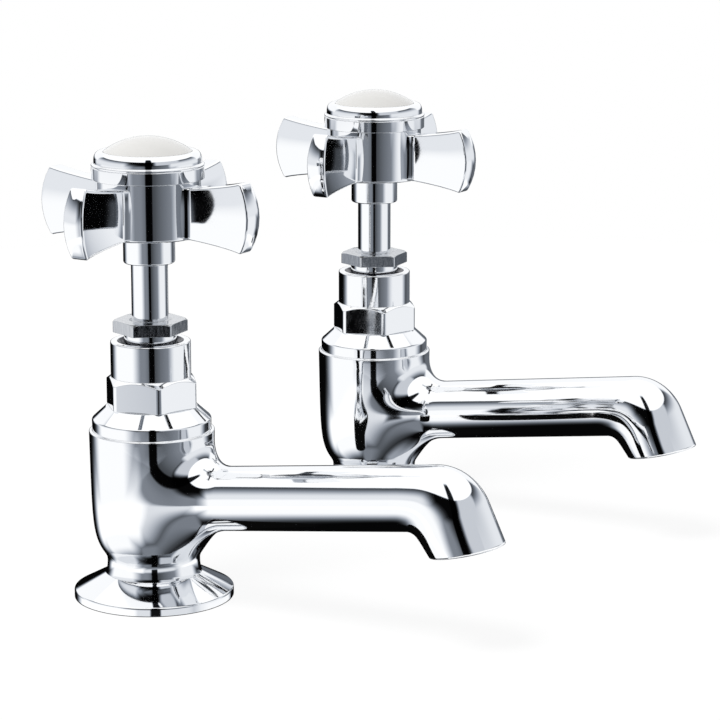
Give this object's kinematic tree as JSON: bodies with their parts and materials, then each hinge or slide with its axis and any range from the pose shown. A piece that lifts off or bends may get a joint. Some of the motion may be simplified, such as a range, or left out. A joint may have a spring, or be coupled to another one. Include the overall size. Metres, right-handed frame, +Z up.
{
  "type": "pair of pillar taps",
  "caption": "Pair of deck-mounted bath pillar taps with rising spindles, long bent spouts, four-paddle cross handles and domed white buttons.",
  "frame": {"origin": "on the left tap's centre line, at the level of the deck that the flanges stand on", "axes": "+Z up along the spindles, +X the way the spouts point, +Y from the left tap to the right tap as a user who faces them sees them"},
  "size_m": [0.168, 0.2266, 0.2028],
  "materials": {
    "chrome_cast": "polished chrome plate on cast brass",
    "chrome_turned": "chrome plate on turned brass, flats slightly duller",
    "chrome_handle": "polished chrome plate",
    "ceramic": "white glazed ceramic",
    "brass": "plain machined brass",
    "steel": "stainless screw",
    "rubber": "black rubber",
    "graphite": "graphite packing",
    "fibre": "red fibre washer",
    "nylon": "white nylon washer"
  },
  "bodies": {
    "fixed_taps": {"left_body": "chrome_cast", "left_base_gasket": "rubber", "left_clamp_washer": "nylon", "left_backnut": "brass", "left_bonnet": "chrome_turned", "left_bonnet_seal": "fibre", "left_packing": "graphite", "left_gland_follower": "brass", "left_gland_nut": "chrome_turned", "right_body": "chrome_cast", "right_base_gasket": "rubber", "right_clamp_washer": "nylon", "right_backnut": "brass", "right_bonnet": "chrome_turned", "right_bonnet_seal": "fibre", "right_packing": "graphite", "right_gland_follower": "brass", "right_gland_nut": "chrome_turned"},
    "left_valve": {"left_jumper": "brass", "left_valve_washer": "rubber", "left_washer_nut": "brass"},
    "left_handle": {"left_spindle": "chrome_turned", "left_crosshead": "chrome_handle", "left_handle_screw": "steel", "left_cap": "chrome_handle", "left_button": "ceramic"},
    "right_valve": {"right_jumper": "brass", "right_valve_washer": "rubber", "right_washer_nut": "brass"},
    "right_handle": {"right_spindle": "chrome_turned", "right_crosshead": "chrome_handle", "right_handle_screw": "steel", "right_cap": "chrome_handle", "right_button": "ceramic"}
  },
  "joints": [
    {"name": "left_valve_lift", "type": "slide", "parent": "fixed_taps", "child": "left_valve", "axis": [0, 0, 1], "range_m": [0, 0.006]},
    {"name": "left_handle_turn", "type": "hinge", "parent": "left_valve", "child": "left_handle", "pos_m": [0, 0, 0.1], "axis": [0, 0, 1], "range_deg": [0, 900]},
    {"name": "right_valve_lift", "type": "slide", "parent": "fixed_taps", "child": "right_valve", "axis": [0, 0, 1], "range_m": [0, 0.006]},
    {"name": "right_handle_turn", "type": "hinge", "parent": "right_valve", "child": "right_handle", "pos_m": [0, 0.145, 0.1], "axis": [0, 0, 1], "range_deg": [0, 900]}
  ],
  "couplings": [
    {"joint": "left_valve_lift", "follows": "left_handle_turn", "m_per_rad": 0.00038197},
    {"joint": "right_valve_lift", "follows": "right_handle_turn", "m_per_rad": 0.00038197}
  ]
}
